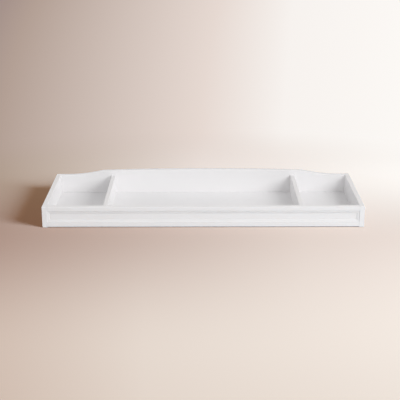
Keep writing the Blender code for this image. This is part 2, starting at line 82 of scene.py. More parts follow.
# %% [markdown]
# ## Sums on shader sockets
#
# A procedural finish is a sum of small effects, and a sum is easier to read as an expression
# than as a chain of Math nodes. The class below holds one output socket, and Python's own
# operators add the Math nodes for it. The reflected forms let `1 - mask` work too.

# %% A socket that does sums
# A Mix node has sockets of one name for each kind of value, so its colour ones go by number.
MIX_FACTOR, MIX_FIRST, MIX_SECOND, MIX_RESULT = 0, 6, 7, 2
NOISE_GAIN = 0.55


class Wire:
    """An output socket. Each operator on it adds one Math node."""

    def __init__(self, tree, socket):
        self.tree = tree
        self.socket = socket

    def maths(self, operation, first, second):
        node = self.tree.nodes.new("ShaderNodeMath")
        node.operation = operation
        for place, value in zip(node.inputs, (first, second)):
            connect(self.tree, place, value)
        return Wire(self.tree, node.outputs[0])

    def __add__(self, other):
        return self.maths("ADD", self, other)

    def __sub__(self, other):
        return self.maths("SUBTRACT", self, other)

    def __rsub__(self, other):
        return self.maths("SUBTRACT", other, self)

    def __mul__(self, other):
        return self.maths("MULTIPLY", self, other)

    __radd__ = __add__
    __rmul__ = __mul__


def connect(tree, place, value):
    """Links a wire to an input, or sets the input to a plain value."""
    if isinstance(value, Wire):
        tree.links.new(value.socket, place)
    else:
        place.default_value = value


class Recipe:
    """The node tree of a finish, a lamp or the world."""

    def __init__(self, tree):
        self.tree = tree

    def node(self, kind, settings, sockets, output=0):
        """Adds a node with its settings first, then the values or links of its sockets."""
        made = self.tree.nodes.new(kind)
        for name, value in settings.items():
            if name == "stops":
                stops = made.color_ramp.elements
                stops[0].position, stops[0].color = value[0]
                stops[1].position, stops[1].color = value[-1]
                for position, colour in value[1:-1]:
                    stops.new(position).color = colour
            else:
                setattr(made, name, value)
        for name, value in sockets.items():
            connect(self.tree, made.inputs[name], value)
        return Wire(self.tree, made.outputs[output])

    def blend(self, factor, first, second):
        """Mixes two colours, from the first at 0 to the second at 1."""
        sockets = {MIX_FACTOR: factor, MIX_FIRST: first, MIX_SECOND: second}
        return self.node("ShaderNodeMix", {"data_type": "RGBA"}, sockets, output=MIX_RESULT)

    def seen_directly(self):
        """1 for the camera, mirrors and glass, and 0 for the rays that only carry light."""
        camera_ray, glossy_ray, through_glass = (
            self.node("ShaderNodeLightPath", {}, {}, output=name)
            for name in ("Is Camera Ray", "Is Glossy Ray", "Is Transmission Ray")
        )
        return camera_ray + glossy_ray + through_glass


class Finish(Recipe):
    """A material that is being mixed, and its Principled shader."""

    def __init__(self, name):
        self.material = bpy.data.materials.new(name)
        self.material.use_nodes = True
        super().__init__(self.material.node_tree)
        self.shader = self.tree.nodes["Principled BSDF"]

    def noise(self, place, stretch, scale, detail=2.0):
        """Noise in metres: stretch gives how much faster it changes along X, Y and Z."""
        mapped = self.node("ShaderNodeMapping", {}, {"Vector": place, "Scale": stretch})
        sockets = {"Vector": mapped, "Scale": scale, "Detail": detail, "Roughness": NOISE_GAIN}
        return self.node("ShaderNodeTexNoise", {"noise_dimensions": "3D"}, sockets)

    def bump(self, height, strength, distance):
        sockets = {"Strength": strength, "Distance": distance, "Height": height}
        return self.node("ShaderNodeBump", {}, sockets)

    def feed(self, **sockets):
        """Feeds the shader: base_color stands for the socket Base Color, and so on."""
        for name, value in sockets.items():
            label = name.replace("_", " ").title().replace("Ior", "IOR")
            connect(self.tree, self.shader.inputs[label], value)

    def place(self):
        """The point on the piece, in metres."""
        return self.node("ShaderNodeTexCoord", {}, {}, output="Object")


print("socket class ready:", Wire.__name__)

# %% [markdown]
# ## The white paint
#
# The real tray is sprayed with a satin white lacquer. Up close such paint isn't one flat
# value: the wood's grain telegraphs through it as shallow ridges along the board, the spray
# leaves a fine orange peel, and the sheen is a little patchy. An image of painted wood could
# be wrapped on each board, but noise in the piece's own coordinates needs no unwrapping and
# has the same scale on a long back and a short divider. Boards that run from side to side and
# boards that run from front to back get the same recipe with the grain turned.

# %% Paint for boards along X, Y and Z
PAINT = (0.792, 0.785, 0.793, 1.0)
PAINT_SHADE = (0.772, 0.765, 0.77, 1.0)
EVEN = (1.0, 1.0, 1.0)
ALONG, ACROSS = 1.0, 16.0  # how fast the grain changes along and across the board
PATCHES, GRAIN, BRUSH, PEEL = 5.0, 14.0, 90.0, 650.0  # how often each changes in a metre


def grain_stretch(axis):
    """How fast the grain changes along X, Y and Z on a board along the given axis."""
    return tuple(ALONG if name == axis else ACROSS for name in "XYZ")


def white_paint(axis):
    """White lacquer over the grain of a board along the given axis."""
    finish = Finish("white_paint_along_" + axis.lower())
    place = finish.place()
    stretch = grain_stretch(axis)
    patches = finish.noise(place, EVEN, PATCHES)
    grain = finish.noise(place, stretch, GRAIN, detail=5.0)
    brush = finish.noise(place, stretch, BRUSH)
    peel = finish.noise(place, EVEN, PEEL)
    relief = grain * 0.5 + brush * 0.3 + peel * 0.2
    finish.feed(
        base_color=finish.blend(patches * 0.5 + grain * 0.2, PAINT, PAINT_SHADE),
        roughness=patches * 0.10 + brush * 0.06 + 0.30,
        normal=finish.bump(relief, strength=0.16, distance=0.0004),
        coat_weight=0.12,
        coat_roughness=0.22,
    )
    return finish.material


paint = {axis: white_paint(axis) for axis in "XYZ"}
print("paints:", [material.name for material in paint.values()])

# %% [markdown]
# ## Beech, zinc and rubber
#
# The hidden pieces have their own finishes. Beech is a pale brown wood with short dark flecks
# along its grain. Screws and brackets are steel under a thin layer of bright zinc, which
# is lightly brushed and turns from bluish to yellowish in patches. The pads under the tray
# are a milky soft rubber. All three are mixed from noise like the paint, for the same reason.

# %% Finishes of the hidden pieces
BEECH, BEECH_DARK = (0.62, 0.44, 0.27, 1.0), (0.45, 0.29, 0.16, 1.0)
ZINC_BLUE, ZINC_YELLOW = (0.58, 0.60, 0.62, 1.0), (0.66, 0.63, 0.54, 1.0)
RUBBER, RUBBER_DARK = (0.72, 0.72, 0.70, 1.0), (0.64, 0.64, 0.61, 1.0)
RINGS, FLECKS = 60.0, 420.0  # these too count the changes in a metre
STAINS, BRUSHING = 70.0, 40.0
ROUND_THE_STRIP = (40.0, 1.0, 40.0)  # the brush went along Y
CLOUDS, SKIN = 120.0, 1500.0


def beech(axis):
    finish = Finish("beech_along_" + axis.lower())
    place = finish.place()
    rings = finish.noise(place, grain_stretch(axis), RINGS, detail=4.0)
    flecks = finish.noise(place, grain_stretch(axis), FLECKS)
    streaks = {"stops": [(0.52, (0.0, 0.0, 0.0, 1.0)), (0.66, (1.0, 1.0, 1.0, 1.0))]}
    fleck = finish.node("ShaderNodeValToRGB", streaks, {"Fac": flecks})
    finish.feed(
        base_color=finish.blend(rings * 0.6 + fleck * 0.4, BEECH, BEECH_DARK),
        roughness=rings * 0.15 + 0.55,
        normal=finish.bump(rings * 0.6 + flecks * 0.4, strength=0.3, distance=0.0002),
    )
    return finish.material


def zinc_plating():
    finish = Finish("zinc_plating")
    place = finish.place()
    stains = finish.noise(place, EVEN, STAINS)
    brushing = finish.noise(place, ROUND_THE_STRIP, BRUSHING)
    finish.feed(
        base_color=finish.blend(stains, ZINC_BLUE, ZINC_YELLOW),
        roughness=brushing * 0.18 + stains * 0.08 + 0.20,
        normal=finish.bump(brushing, strength=0.2, distance=0.0001),
        metallic=1.0,
    )
    return finish.material


def milky_rubber():
    finish = Finish("milky_rubber")
    place = finish.place()
    cloud = finish.noise(place, EVEN, CLOUDS)
    skin = finish.noise(place, EVEN, SKIN)
    finish.feed(
        base_color=finish.blend(cloud, RUBBER, RUBBER_DARK),
        roughness=skin * 0.2 + 0.45,
        normal=finish.bump(skin, strength=0.25, distance=0.0001),
        subsurface_weight=0.15,
        subsurface_scale=0.002,
    )
    return finish.material


beech_finish = {axis: beech(axis) for axis in "XY"}
zinc = zinc_plating()
rubber = milky_rubber()
print("hidden finishes:", zinc.name, rubber.name, [m.name for m in beech_finish.values()])

# %% [markdown]
# ## A few modelling habits
#
# Every board starts as a box between two corners that the CAD model gives. It is turned into
# a board in edit mode: edges are picked in code by the side of the box that they lie on, and
# bevelled. The same could be done with one Bevel modifier on all edges, but a woodworker
# doesn't round an edge that is glued to its neighbour, so the edges are picked.
#
# An operator acts on whatever is selected, so each helper first makes its piece the only one
# that is selected.

# %% Helpers for boxes and edges
NEAR = 1e-5  # closer places count as one
SHARP = math.radians(50)  # an edge that turns by more is a corner
ROUND_STEPS, ARRIS_STEPS = 5, 2


def only(piece):
    """Makes a piece the active one, and the only one selected."""
    bpy.ops.object.select_all(action="DESELECT")
    piece.select_set(True)
    bpy.context.view_layer.objects.active = piece


def start_box(name, low, high):
    """A box between two corners, which every board starts as."""
    low, high = Vector(low), Vector(high)
    bpy.ops.object.select_all(action="DESELECT")
    bpy.ops.mesh.primitive_cube_add(size=1, location=(low + high) / 2)
    piece = bpy.context.object
    piece.name = name
    piece.scale = high - low
    bpy.ops.object.transform_apply()
    return piece


def side_of(value, low, high):
    """-1 at the low side of a box, 1 at the high side, and 0 between them."""
    return (value > high - NEAR) - (value < low + NEAR)


def pick(piece, wanted, mode="EDGE"):
    """Enters edit mode and selects the edges or faces whose middle has the wanted sides."""
    only(piece)
    bpy.ops.object.mode_set(mode="EDIT")
    bpy.ops.mesh.select_mode(type=mode)
    bpy.ops.mesh.select_all(action="DESELECT")
    form = bmesh.from_edit_mesh(piece.data)
    corners = [vertex.co for vertex in form.verts]
    low = [min(c[i] for c in corners) for i in range(3)]
    high = [max(c[i] for c in corners) for i in range(3)]
    picked = 0
    for item in form.edges if mode == "EDGE" else form.faces:
        middle = sum((vertex.co for vertex in item.verts), Vector()) / len(item.verts)
        if wanted(*(side_of(middle[i], low[i], high[i]) for i in range(3))):
            item.select_set(True)
            picked += 1
    bmesh.update_edit_mesh(piece.data)
    return picked


def draw_out(way):
    """Extrudes what is selected, in edit mode."""
    bpy.ops.mesh.extrude_region_move(TRANSFORM_OT_translate={"value": way})


def round_edges(piece, wanted, radius):
    """Bevels the wanted edges to a round of the given radius."""
    picked = pick(piece, wanted)
    bpy.ops.mesh.bevel(offset=radius, segments=ROUND_STEPS, profile=0.5, affect="EDGES")
    bpy.ops.object.mode_set(mode="OBJECT")
    return picked


def apply_modifier(piece, kind, **settings):
    """Adds a modifier with its settings, and makes its result the piece's mesh."""
    only(piece)
    modifier = piece.modifiers.new(kind.lower(), kind)
    for name, value in settings.items():
        setattr(modifier, name, value)
    bpy.ops.object.modifier_apply(modifier=modifier.name)


def soften(piece, radius):
    """Takes the sharpness off every corner that is left."""
    apply_modifier(
        piece,
        "BEVEL",
        width=radius,
        segments=ARRIS_STEPS,
        limit_method="ANGLE",
        angle_limit=SHARP,
    )


# %% [markdown]
# ## Cutting away
#
# Grooves, rebates and holes are cut with a Boolean. Extruding faces inwards would do as well,
# but a hole that crosses two boards comes out of one cutter here, and a groove can be the
# neighbour's own box, made wider by the air between them.

# %% Helpers for cuts
def cut_away(piece, cutter, keep_cutter=False):
    """Takes the cutter's form out of the piece."""
    apply_modifier(piece, "BOOLEAN", operation="DIFFERENCE", solver="EXACT", object=cutter)
    if not keep_cutter:
        bpy.data.objects.remove(cutter)


def room_for(node, below=0.0):
    """A cutter as large as a CAD node with air round it, and open below if need be."""
    low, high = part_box(node)
    air = Vector((GAP, GAP, GAP))
    return start_box("room_for_" + node, low - air - Vector((0.0, 0.0, below)), high + air)


# %% [markdown]
# A finished piece rides on the tray's one rigid body, stands for its CAD node, and gets its
# material. Its shading is smooth over its rounds and flat on its faces: Weighted Normal
# gives each large face the say over its corners.

# %% Finish a piece
made_pieces = []


def settle(piece, angle=40):
    """Smooth shading for a piece with rounds and large flat faces."""
    only(piece)
    bpy.ops.object.shade_smooth_by_angle(angle=math.radians(angle))
    apply_modifier(piece, "WEIGHTED_NORMAL", keep_sharp=True)


def hand_over(piece, node, material):
    """Names the finished piece, and puts it in the place of its CAD node."""
    piece.name = node + "_piece"
    piece.data.name = piece.name
    piece.data.materials.clear()
    piece.data.materials.append(material)
    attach(piece, "root")
    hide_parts(node)
    made_pieces.append(piece)


def paint_board(piece, node, axis):
    """Shades a board, paints it with the grain along the axis, and hands it over."""
    settle(piece)
    hand_over(piece, node, paint[axis])


# %% [markdown]
# ## The two ends
#
# Each end is a solid board that stands on the dresser. Its front edge frames the front of the
# tray, and its outer edges are rounded by a router, which takes a radius of about 2.5 mm.
# The rear edges stay square, because the back is screwed against them, and so does the edge
# that the rails butt against. The front panel's tongue and the bottom's edge are let into it.

# %% Model the ends
EDGE_ROUND = 0.0025  # the router's radius
ARRIS = 0.0004  # sandpaper on the other edges
UNDERCUT = 0.004  # how far a rebate's cutter reaches below the board

boards = {}
for node, sign in (("left_end_panel", -1), ("right_end_panel", 1)):
    board = start_box(node, *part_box(node))
    square = ((-sign, 0, -1), (-sign, -1, 0))  # against the bottom and against the rails
    rounded = round_edges(board, lambda x, y, z: y <= 0 and (x, y, z) not in square, EDGE_ROUND)
    soften(board, ARRIS)
    cut_away(board, room_for("front_panel"))
    cut_away(board, room_for("bottom_panel", UNDERCUT))
    boards[node] = board
print("edges rounded on each end:", rounded)

# %% [markdown]
# ## The back
#
# The back's top edge lies level behind each end, sweeps up in a hollow curve to a soft
# shoulder, and goes over the middle in a low crown. On the real board this is one pass of a
# bandsaw along a template. A drawn outline could be extruded to the board's thickness. Here
# the box is cut across where the curve changes, and each stretch is subdivided as finely as
# its curve needs, so that the board stays a box until its shape is known.

# %% Cut the back into stretches
CROWN_RISE = 0.0275
SHOULDER_RISE = 0.0205
SHOULDER_X = 0.467
SWEEP_END_X = 0.637
SHOULDER_SOFTNESS = 0.0006
SWEEP_CUTS, CROWN_CUTS = 23, 79

back_low, back_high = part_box("back_panel")
flat_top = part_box("left_end_panel")[1].z
back = start_box("back_panel", back_low, (back_high.x, back_high.y, flat_top))
only(back)
bpy.ops.object.mode_set(mode="EDIT")
for x in (-SWEEP_END_X, -SHOULDER_X, SHOULDER_X, SWEEP_END_X):
    bpy.ops.mesh.select_all(action="SELECT")
    bpy.ops.mesh.bisect(plane_co=(x, 0.0, 0.0), plane_no=(1.0, 0.0, 0.0))


def pick_stretch(piece, from_x, to_x):
    """Selects the edges that run along X between two places."""
    bpy.ops.mesh.select_mode(type="EDGE")
    bpy.ops.mesh.select_all(action="DESELECT")
    form = bmesh.from_edit_mesh(piece.data)
    for edge in form.edges:
        ends = sorted(vertex.co.x for vertex in edge.verts)
        if abs(ends[0] - from_x) < NEAR and abs(ends[1] - to_x) < NEAR:
            edge.select_set(True)
    bmesh.update_edit_mesh(piece.data)


for from_x, to_x, cuts in (
    (-SWEEP_END_X, -SHOULDER_X, SWEEP_CUTS),
    (-SHOULDER_X, SHOULDER_X, CROWN_CUTS),
    (SHOULDER_X, SWEEP_END_X, SWEEP_CUTS),
):
    pick_stretch(back, from_x, to_x)
    bpy.ops.mesh.subdivide(number_cuts=cuts)
bpy.ops.object.mode_set(mode="OBJECT")
print("points before the curve:", len(back.data.vertices))

# %% [markdown]
# The points on top are now lifted onto the curve. The hollow and the crown are two parabolas,
# and the lower of the two holds at each place, with a small softness where they meet. A bevel
# on all sharp edges comes last, so that the round follows the sweep.

# %% Lift its top onto the curve
def crown_height(x):
    """The rise over the ends: a hollow sweep up to a shoulder, then a low crown."""
    from_flat = SWEEP_END_X - abs(x)
    if from_flat <= 0:
        return 0.0
    sweep = SHOULDER_RISE * (from_flat / (SWEEP_END_X - SHOULDER_X)) ** 2
    crown = CROWN_RISE - (CROWN_RISE - SHOULDER_RISE) * (x / SHOULDER_X) ** 2
    lower = (sweep + crown - math.hypot(sweep - crown, SHOULDER_SOFTNESS)) / 2
    return max(lower, 0.0)


for vertex in back.data.vertices:
    if vertex.co.z > flat_top - NEAR:
        vertex.co.z += crown_height(vertex.co.x)
only(back)
bpy.ops.object.mode_set(mode="EDIT")
bpy.ops.mesh.select_mode(type="EDGE")
bpy.ops.mesh.select_all(action="DESELECT")
bpy.ops.mesh.edges_select_sharp(sharpness=SHARP)
bpy.ops.mesh.bevel(offset=EDGE_ROUND, segments=ROUND_STEPS, profile=0.5, affect="EDGES")
bpy.ops.object.mode_set(mode="OBJECT")
cut_away(back, room_for("bottom_panel", UNDERCUT))
boards["back_panel"] = back
crown_top = max(vertex.co.z for vertex in back.data.vertices)
print("crown's top:", round(crown_top, 4), "CAD:", round(back_high.z, 4))

# %% [markdown]
# ## The framed front
#
# The front is a narrow frame with a flat panel in it. The top rail has both its upper edges
# rounded, and the bottom rail its lower front one. A groove in each takes the panel's tongue.

# %% Model the rails and the panel
top_rail = start_box("top_rail", *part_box("front_top_rail"))
round_edges(top_rail, lambda x, y, z: x == 0 and z > 0, EDGE_ROUND)
bottom_rail = start_box("bottom_rail", *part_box("front_bottom_rail"))
round_edges(bottom_rail, lambda x, y, z: x == 0 and y < 0 and z < 0, EDGE_ROUND)
panel = start_box("panel", *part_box("front_panel"))
for board in (top_rail, bottom_rail, panel):
    soften(board, ARRIS)
for rail in (top_rail, bottom_rail):
    cut_away(rail, room_for("front_panel"))
cut_away(bottom_rail, room_for("bottom_panel", UNDERCUT))
boards.update(front_top_rail=top_rail, front_bottom_rail=bottom_rail, front_panel=panel)
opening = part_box("front_top_rail")[0].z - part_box("front_bottom_rail")[1].z
print("opening between the rails:", round(opening, 4))

# %% [markdown]
# ## The dividers and the bottom
#
# Two boards part the pad's bay from the side bays. Their top edges are rounded, because hands
# and sleeves pass over them all day. The bottom is a thin sheet that lies in the rebates, and
# its edges are hardly broken, because a wide arris there would show as a dark line all round.

# %% Model the dividers and the bottom
for node in ("left_divider", "right_divider"):
    divider = start_box(node, *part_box(node))
    round_edges(divider, lambda x, y, z: y == 0 and z > 0, EDGE_ROUND)
    soften(divider, ARRIS)
    boards[node] = divider
bottom = start_box("bottom_panel", *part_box("bottom_panel"))
soften(bottom, ARRIS / 4)
boards["bottom_panel"] = bottom
print("boards so far:", len(boards))

# %% [markdown]
# ## The bead moulding
#
# A small moulding runs round the panel: a chamfer at the rail's edge, a narrow flat, and then
# a bead that falls in a quarter ellipse to the panel. Its corners are mitred. A curve with a
# bevel object would sweep the section round the frame in one go, but four strips are what the
# real front has, and each can be drawn as it is made: a circle is flattened to an ellipse, a
# quarter of it is kept and closed to a section, the section is drawn out along the strip, and
# a saw cut at 45 degrees finishes each end.

# %% Draw one bead strip
CHAMFER_WIDTH, CHAMFER_DEPTH = 0.0035, 0.0012
FLAT_WIDTH = 0.0035
CIRCLE_POINTS = 48


def bead_strip(name, length, width, depth):
    """A strip along X about the origin, its outer edge at z = 0 and its face at y = 0."""
    across = width - CHAMFER_WIDTH - FLAT_WIDTH
    bpy.ops.object.select_all(action="DESELECT")
    bpy.ops.mesh.primitive_circle_add(
        vertices=CIRCLE_POINTS, radius=1.0, rotation=(0.0, math.radians(90), 0.0)
    )
    strip = bpy.context.object
    strip.name = name
    strip.scale = (across, depth - CHAMFER_DEPTH, across)
    strip.location = (-length / 2, depth, across - width)
    bpy.ops.object.transform_apply()
    bpy.ops.object.mode_set(mode="EDIT")
    bpy.ops.mesh.select_mode(type="VERT")
    bpy.ops.mesh.select_all(action="DESELECT")
    form = bmesh.from_edit_mesh(strip.data)
    for vertex in form.verts:
        behind = vertex.co.y > depth + NEAR
        outside = vertex.co.z > across - width + NEAR
        vertex.select_set(behind or outside)
    bmesh.update_edit_mesh(strip.data)
    bpy.ops.mesh.delete(type="VERT")
    form = bmesh.from_edit_mesh(strip.data)
    min(form.verts, key=lambda vertex: vertex.co.y).select_set(True)
    bmesh.update_edit_mesh(strip.data)
    flat, chamfer = (0.0, 0.0, FLAT_WIDTH), (0.0, -CHAMFER_DEPTH, CHAMFER_WIDTH)
    for way in (flat, chamfer, (0.0, depth, 0.0)):
        draw_out(way)
    bpy.ops.mesh.select_all(action="SELECT")
    bpy.ops.mesh.edge_face_add()
    draw_out((length, 0.0, 0.0))
    for end in (-1, 1):
        bpy.ops.mesh.select_all(action="SELECT")
        bpy.ops.mesh.bisect(
            plane_co=(end * length / 2, 0.0, 0.0),
            plane_no=(end, 0.0, -1.0),
            use_fill=True,
            clear_outer=True,
        )
    bpy.ops.mesh.select_all(action="SELECT")
    bpy.ops.mesh.normals_make_consistent(inside=False)
    bpy.ops.object.mode_set(mode="OBJECT")
    return strip


def lay_strip(strip, node, place, degrees, axis):
    """Turns a strip about Y, puts it in its place and hands it over."""
    only(strip)
    strip.location = place
    strip.rotation_euler = (0.0, math.radians(degrees), 0.0)
    bpy.ops.object.transform_apply()
    paint_board(strip, node, axis)


# %% [markdown]
# Each strip is drawn as the top one lies, with the rail above it. The other three are turned
# about Y, so the bead always falls towards the panel.

# %% Lay the four strips
for node, degrees in (
    ("front_bead_top", 0),
    ("front_bead_bottom", 180),
    ("front_bead_left", -90),
    ("front_bead_right", 90),
):
    low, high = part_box(node)
    middle = (low + high) / 2
    size = high - low
    upright = abs(degrees) == 90
    length, width = (size.z, size.x) if upright else (size.x, size.z)
    outer_x = {-90: low.x, 90: high.x}.get(degrees, middle.x)
    outer_z = {0: high.z, 180: low.z}.get(degrees, middle.z)
    strip = bead_strip(node, length, width, size.y)
    lay_strip(strip, node, (outer_x, low.y, outer_z), degrees, "Z" if upright else "X")
print("bead strips laid:", len(made_pieces))

# %% [markdown]
# ## Turned pieces
#
# Screws, their holes and the pads are all turned, as on a lathe. Half of the outline is drawn
# as by hand, one point extruded from the last, and then spun round the Z axis. The poles and
# the seam are merged afterwards, or the shape would leak there.

# %% Helpers for turned pieces
def draw_chain(name, points):
    """One point, extruded to each (radius, height) in turn."""
    bpy.ops.object.select_all(action="DESELECT")
    bpy.ops.mesh.primitive_plane_add(size=0.01)
    chain = bpy.context.object
    chain.name = name
    bpy.ops.object.mode_set(mode="EDIT")
    bpy.ops.mesh.select_mode(type="VERT")
    bpy.ops.mesh.merge(type="CENTER")
    here = Vector()
    for number, (radius, height) in enumerate(points):
        step = Vector((radius, 0.0, height)) - here
        if number == 0:
            bpy.ops.transform.translate(value=step)
        else:
            draw_out(step)
        here += step
    return chain


MERGE = 1e-6  # points closer than this are one


def close_up():
    """Merges doubles and points the faces outwards, in edit mode, then leaves it."""
    bpy.ops.mesh.select_all(action="SELECT")
    bpy.ops.mesh.remove_doubles(threshold=MERGE)
    bpy.ops.mesh.normals_make_consistent(inside=False)
    bpy.ops.object.mode_set(mode="OBJECT")


def turned(name, points, steps=28):
    """The chain of points, spun once round Z to a closed solid."""
    piece = draw_chain(name, points)
    bpy.ops.mesh.select_all(action="SELECT")
    bpy.ops.mesh.spin(steps=steps, angle=math.tau, center=(0, 0, 0), axis=(0, 0, 1))
    close_up()
    return piece


def copy_to(piece, name, matrix):
    """A copy with a mesh of its own, moved there in its mesh."""
    copy = bpy.data.objects.new(name, piece.data.copy())
    scene.collection.objects.link(copy)
    copy.data.transform(matrix)
    return copy


# %% [markdown]
# ## Screws
#
# A wood screw has a flat or round head with a cross in it, a plain shank, a thread and a
# point. The thread is the classic use of the Screw modifier: the section of one ridge is drawn
# as a closed loop, the modifier winds it up the shank, and its two ends are filled. The ridge
# is then joined to the turned core as a second closed shell, with its inner edge buried in the
# core. A Boolean would make one skin of the two, but on so many fine faces it is apt to leave
# holes.

# %% Wind a thread
ROOT_SHARE = 0.70  # the core's radius, of the thread's
BURIED_SHARE = 0.85  # the radius of the ridge's inner edge, of the core's
PITCH_SHARE = 0.85  # a turn's climb, of the thread's radius
RIDGE_FOOT, RIDGE_LOW, RIDGE_HIGH = 0.8, 0.35, 0.45  # heights on the ridge, of the climb
THREAD_STEPS = 16  # in each turn


def thread(radius, low, high):
    """A ridge that winds up round Z from low to high, closed at both ends."""
    inner, pitch = radius * ROOT_SHARE * BURIED_SHARE, radius * PITCH_SHARE
    section = [(inner, 0.0), (radius, RIDGE_LOW), (radius, RIDGE_HIGH), (inner, RIDGE_FOOT)]
    section.append(section[0])
    ridge = draw_chain("thread", [(r, low + share * pitch) for r, share in section])
    bpy.ops.mesh.select_all(action="SELECT")
    bpy.ops.mesh.remove_doubles(threshold=MERGE)
    bpy.ops.object.mode_set(mode="OBJECT")
    apply_modifier(
        ridge,
        "SCREW",
        screw_offset=pitch,
        iterations=math.floor((high - low) / pitch - RIDGE_FOOT),
        steps=THREAD_STEPS,
        render_steps=THREAD_STEPS,
    )
    bpy.ops.object.mode_set(mode="EDIT")
    bpy.ops.mesh.select_all(action="SELECT")
    bpy.ops.mesh.fill_holes(sides=0)
    close_up()
    return ridge


# %% [markdown]
# The cross in the head is cut with two wedges, as a punch leaves it narrower below.

# %% Cut a cross
RECESS_REACH, RECESS_ARM, RECESS_DEPTH = 0.60, 0.17, 0.55  # of the head's radius
RECESS_TAPER = (0.5, 0.7, 1.0)  # an arm's lower end, of its mouth


def cut_cross(piece, head_radius, top):
    """Cuts both arms down from the head's top."""
    reach, arm = head_radius * RECESS_REACH, head_radius * RECESS_ARM
    depth = head_radius * RECESS_DEPTH
    for half_x, half_y in ((reach, arm), (arm, reach)):
        wedge = start_box("arm", (-half_x, -half_y, top - depth), (half_x, half_y, top + depth))
        pick(wedge, lambda x, y, z: z < 0, mode="FACE")
        bpy.ops.transform.resize(value=RECESS_TAPER)
        bpy.ops.object.mode_set(mode="OBJECT")
        cut_away(piece, wedge)


# %% [markdown]
# A screw is made in the real order: the blank with its head, the cross, and then the thread.

# %% Put a screw together
THREAD_SHARE = 0.62  # of the screw's length
TIP_SHARE = 0.16  # the point, of the screw's length
NECK_SHARE = 0.9  # the plain shank's radius, of the thread's
POINT_SHARE = 0.12  # the blunt end's radius, of the thread's
THREAD_END, THREAD_START = 0.9, 0.6  # into the point, and past the neck in radii


def screw(name, head, radius, head_radius, length, head_top):
    """A screw that points down, with its seat at z = 0. The head's outline comes first."""
    root, tip = radius * ROOT_SHARE, length * TIP_SHARE
    neck = length * (1 - THREAD_SHARE)
    core = head + [(radius * NECK_SHARE, -neck), (root, -neck - radius), (root, tip - length)]
    piece = turned(name, core + [(radius * POINT_SHARE, -length), (0.0, -length)])
    cut_cross(piece, head_radius, head_top)
    ridge = thread(radius, tip * THREAD_END - length, -neck - radius * THREAD_START)
    only(piece)
    ridge.select_set(True)
    bpy.ops.object.join()
    return piece


# %% Outline the two kinds of head
RIM_SHARE = 0.06  # a flat head's rim, of its radius


def flat_head(radius, head_radius):
    """A countersunk head: a cone with a small upright rim."""
    rim = head_radius * RIM_SHARE
    return [
        (0.0, 0.0),
        (head_radius - rim, 0.0),
        (head_radius, -rim),
        (head_radius, -2 * rim),
        (radius * NECK_SHARE, radius - head_radius),
    ]


def round_head(radius, head_radius, height, steps=7):
    """A domed head that sits on the surface."""
    turns = [math.radians(90) * i / steps for i in range(steps + 1)]
    dome = [(head_radius * math.sin(t), height * math.cos(t)) for t in turns]
    return dome + [(radius * NECK_SHARE, 0.0)]


# %% [markdown]
# Each kind of screw is modelled once, with its sizes read from the CAD node's box, and then
# copied to its places. On a real tray no two crosses stop at the same angle, so each copy is
# turned on by the golden angle from the last.

# %% Make the four kinds of screw and copy them
SHANK = {"back": 0.0020, "bracket": 0.0019, "divider": 0.0016, "edge": 0.0016}  # radii
ROUND_HEAD_HEIGHT = 0.0022
GOLDEN_TURN = math.radians(137.5)
BACKWARD = Matrix.Rotation(math.radians(-90), 4, "X")  # the head looks to +Y
DOWNWARD = Matrix.Rotation(math.radians(180), 4, "X")  # the head looks to -Z
names = sorted(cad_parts)
level_screws = [n for n in names if n.endswith(("_lower_screw", "_upper_screw"))]
screw_kinds = {
    "back": [n for n in level_screws if "bracket" not in n],
    "bracket": [n for n in level_screws if "bracket" in n],
    "divider": [n for n in names if n.endswith("_bottom_screw") and "divider" in n],
    "edge": [n for n in names if n.startswith("bottom_") and "screw" in n]
    + ["left_bottom_screw", "right_bottom_screw"],
}
seats, screw_sizes = {}, {}
for kind, nodes in screw_kinds.items():
    low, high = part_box(nodes[0])
    size = high - low
    sideways = kind in ("back", "bracket")
    length, head_radius = (size.y if sideways else size.z), size.x / 2
    head, head_top = flat_head(SHANK[kind], head_radius), 0.0
    if kind == "bracket":
        head_top = ROUND_HEAD_HEIGHT
        head = round_head(SHANK[kind], head_radius, head_top)
        length -= head_top
    screw_sizes[kind] = (head_radius, length)
    model = screw(kind + "_screw", head, SHANK[kind], head_radius, length, head_top)
    for number, node in enumerate(nodes):
        low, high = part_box(node)
        seat = (low + high) / 2
        if sideways:
            seat.y = high.y - head_top
        else:
            seat.z = low.z
        aim = Matrix.Translation(seat) @ (BACKWARD if sideways else DOWNWARD)
        seats[node] = (kind, aim)
        copy = copy_to(model, node, aim @ Matrix.Rotation(GOLDEN_TURN * number, 4, "Z"))
        settle(copy, 35)
        hand_over(copy, node, zinc)
    print(kind, "screws:", len(nodes), "polygons in each:", len(model.data.polygons))
    bpy.data.objects.remove(model)

# %% [markdown]
# ## Holes for the screws
#
# A hole is the screw's outline without its thread, a little wider all round. One cutter goes
# through every board that the screw joins.

# %% Drill the boards
ABOVE = 0.004  # how far a cutter stands out of the hole's mouth
JOINED = (  # the first words found in a fastener's name tell its boards, with * for the side
    ("bottom_front", ("bottom_panel", "front_bottom_rail")),
    ("bottom_back", ("bottom_panel", "back_panel")),
    ("front_bottom", ("bottom_panel", "*_divider")),
    ("back_bottom", ("bottom_panel", "*_divider")),
    ("bottom", ("bottom_panel", "*_end_panel")),
    ("bracket", ("back_panel",)),
    ("front_upper", ("*_end_panel", "front_top_rail")),
    ("front_lower", ("*_end_panel", "front_bottom_rail")),
    ("divider_front", ("*_divider", "front_top_rail")),
    ("divider", ("back_panel", "*_divider")),
    ("", ("back_panel", "*_end_panel")),
)


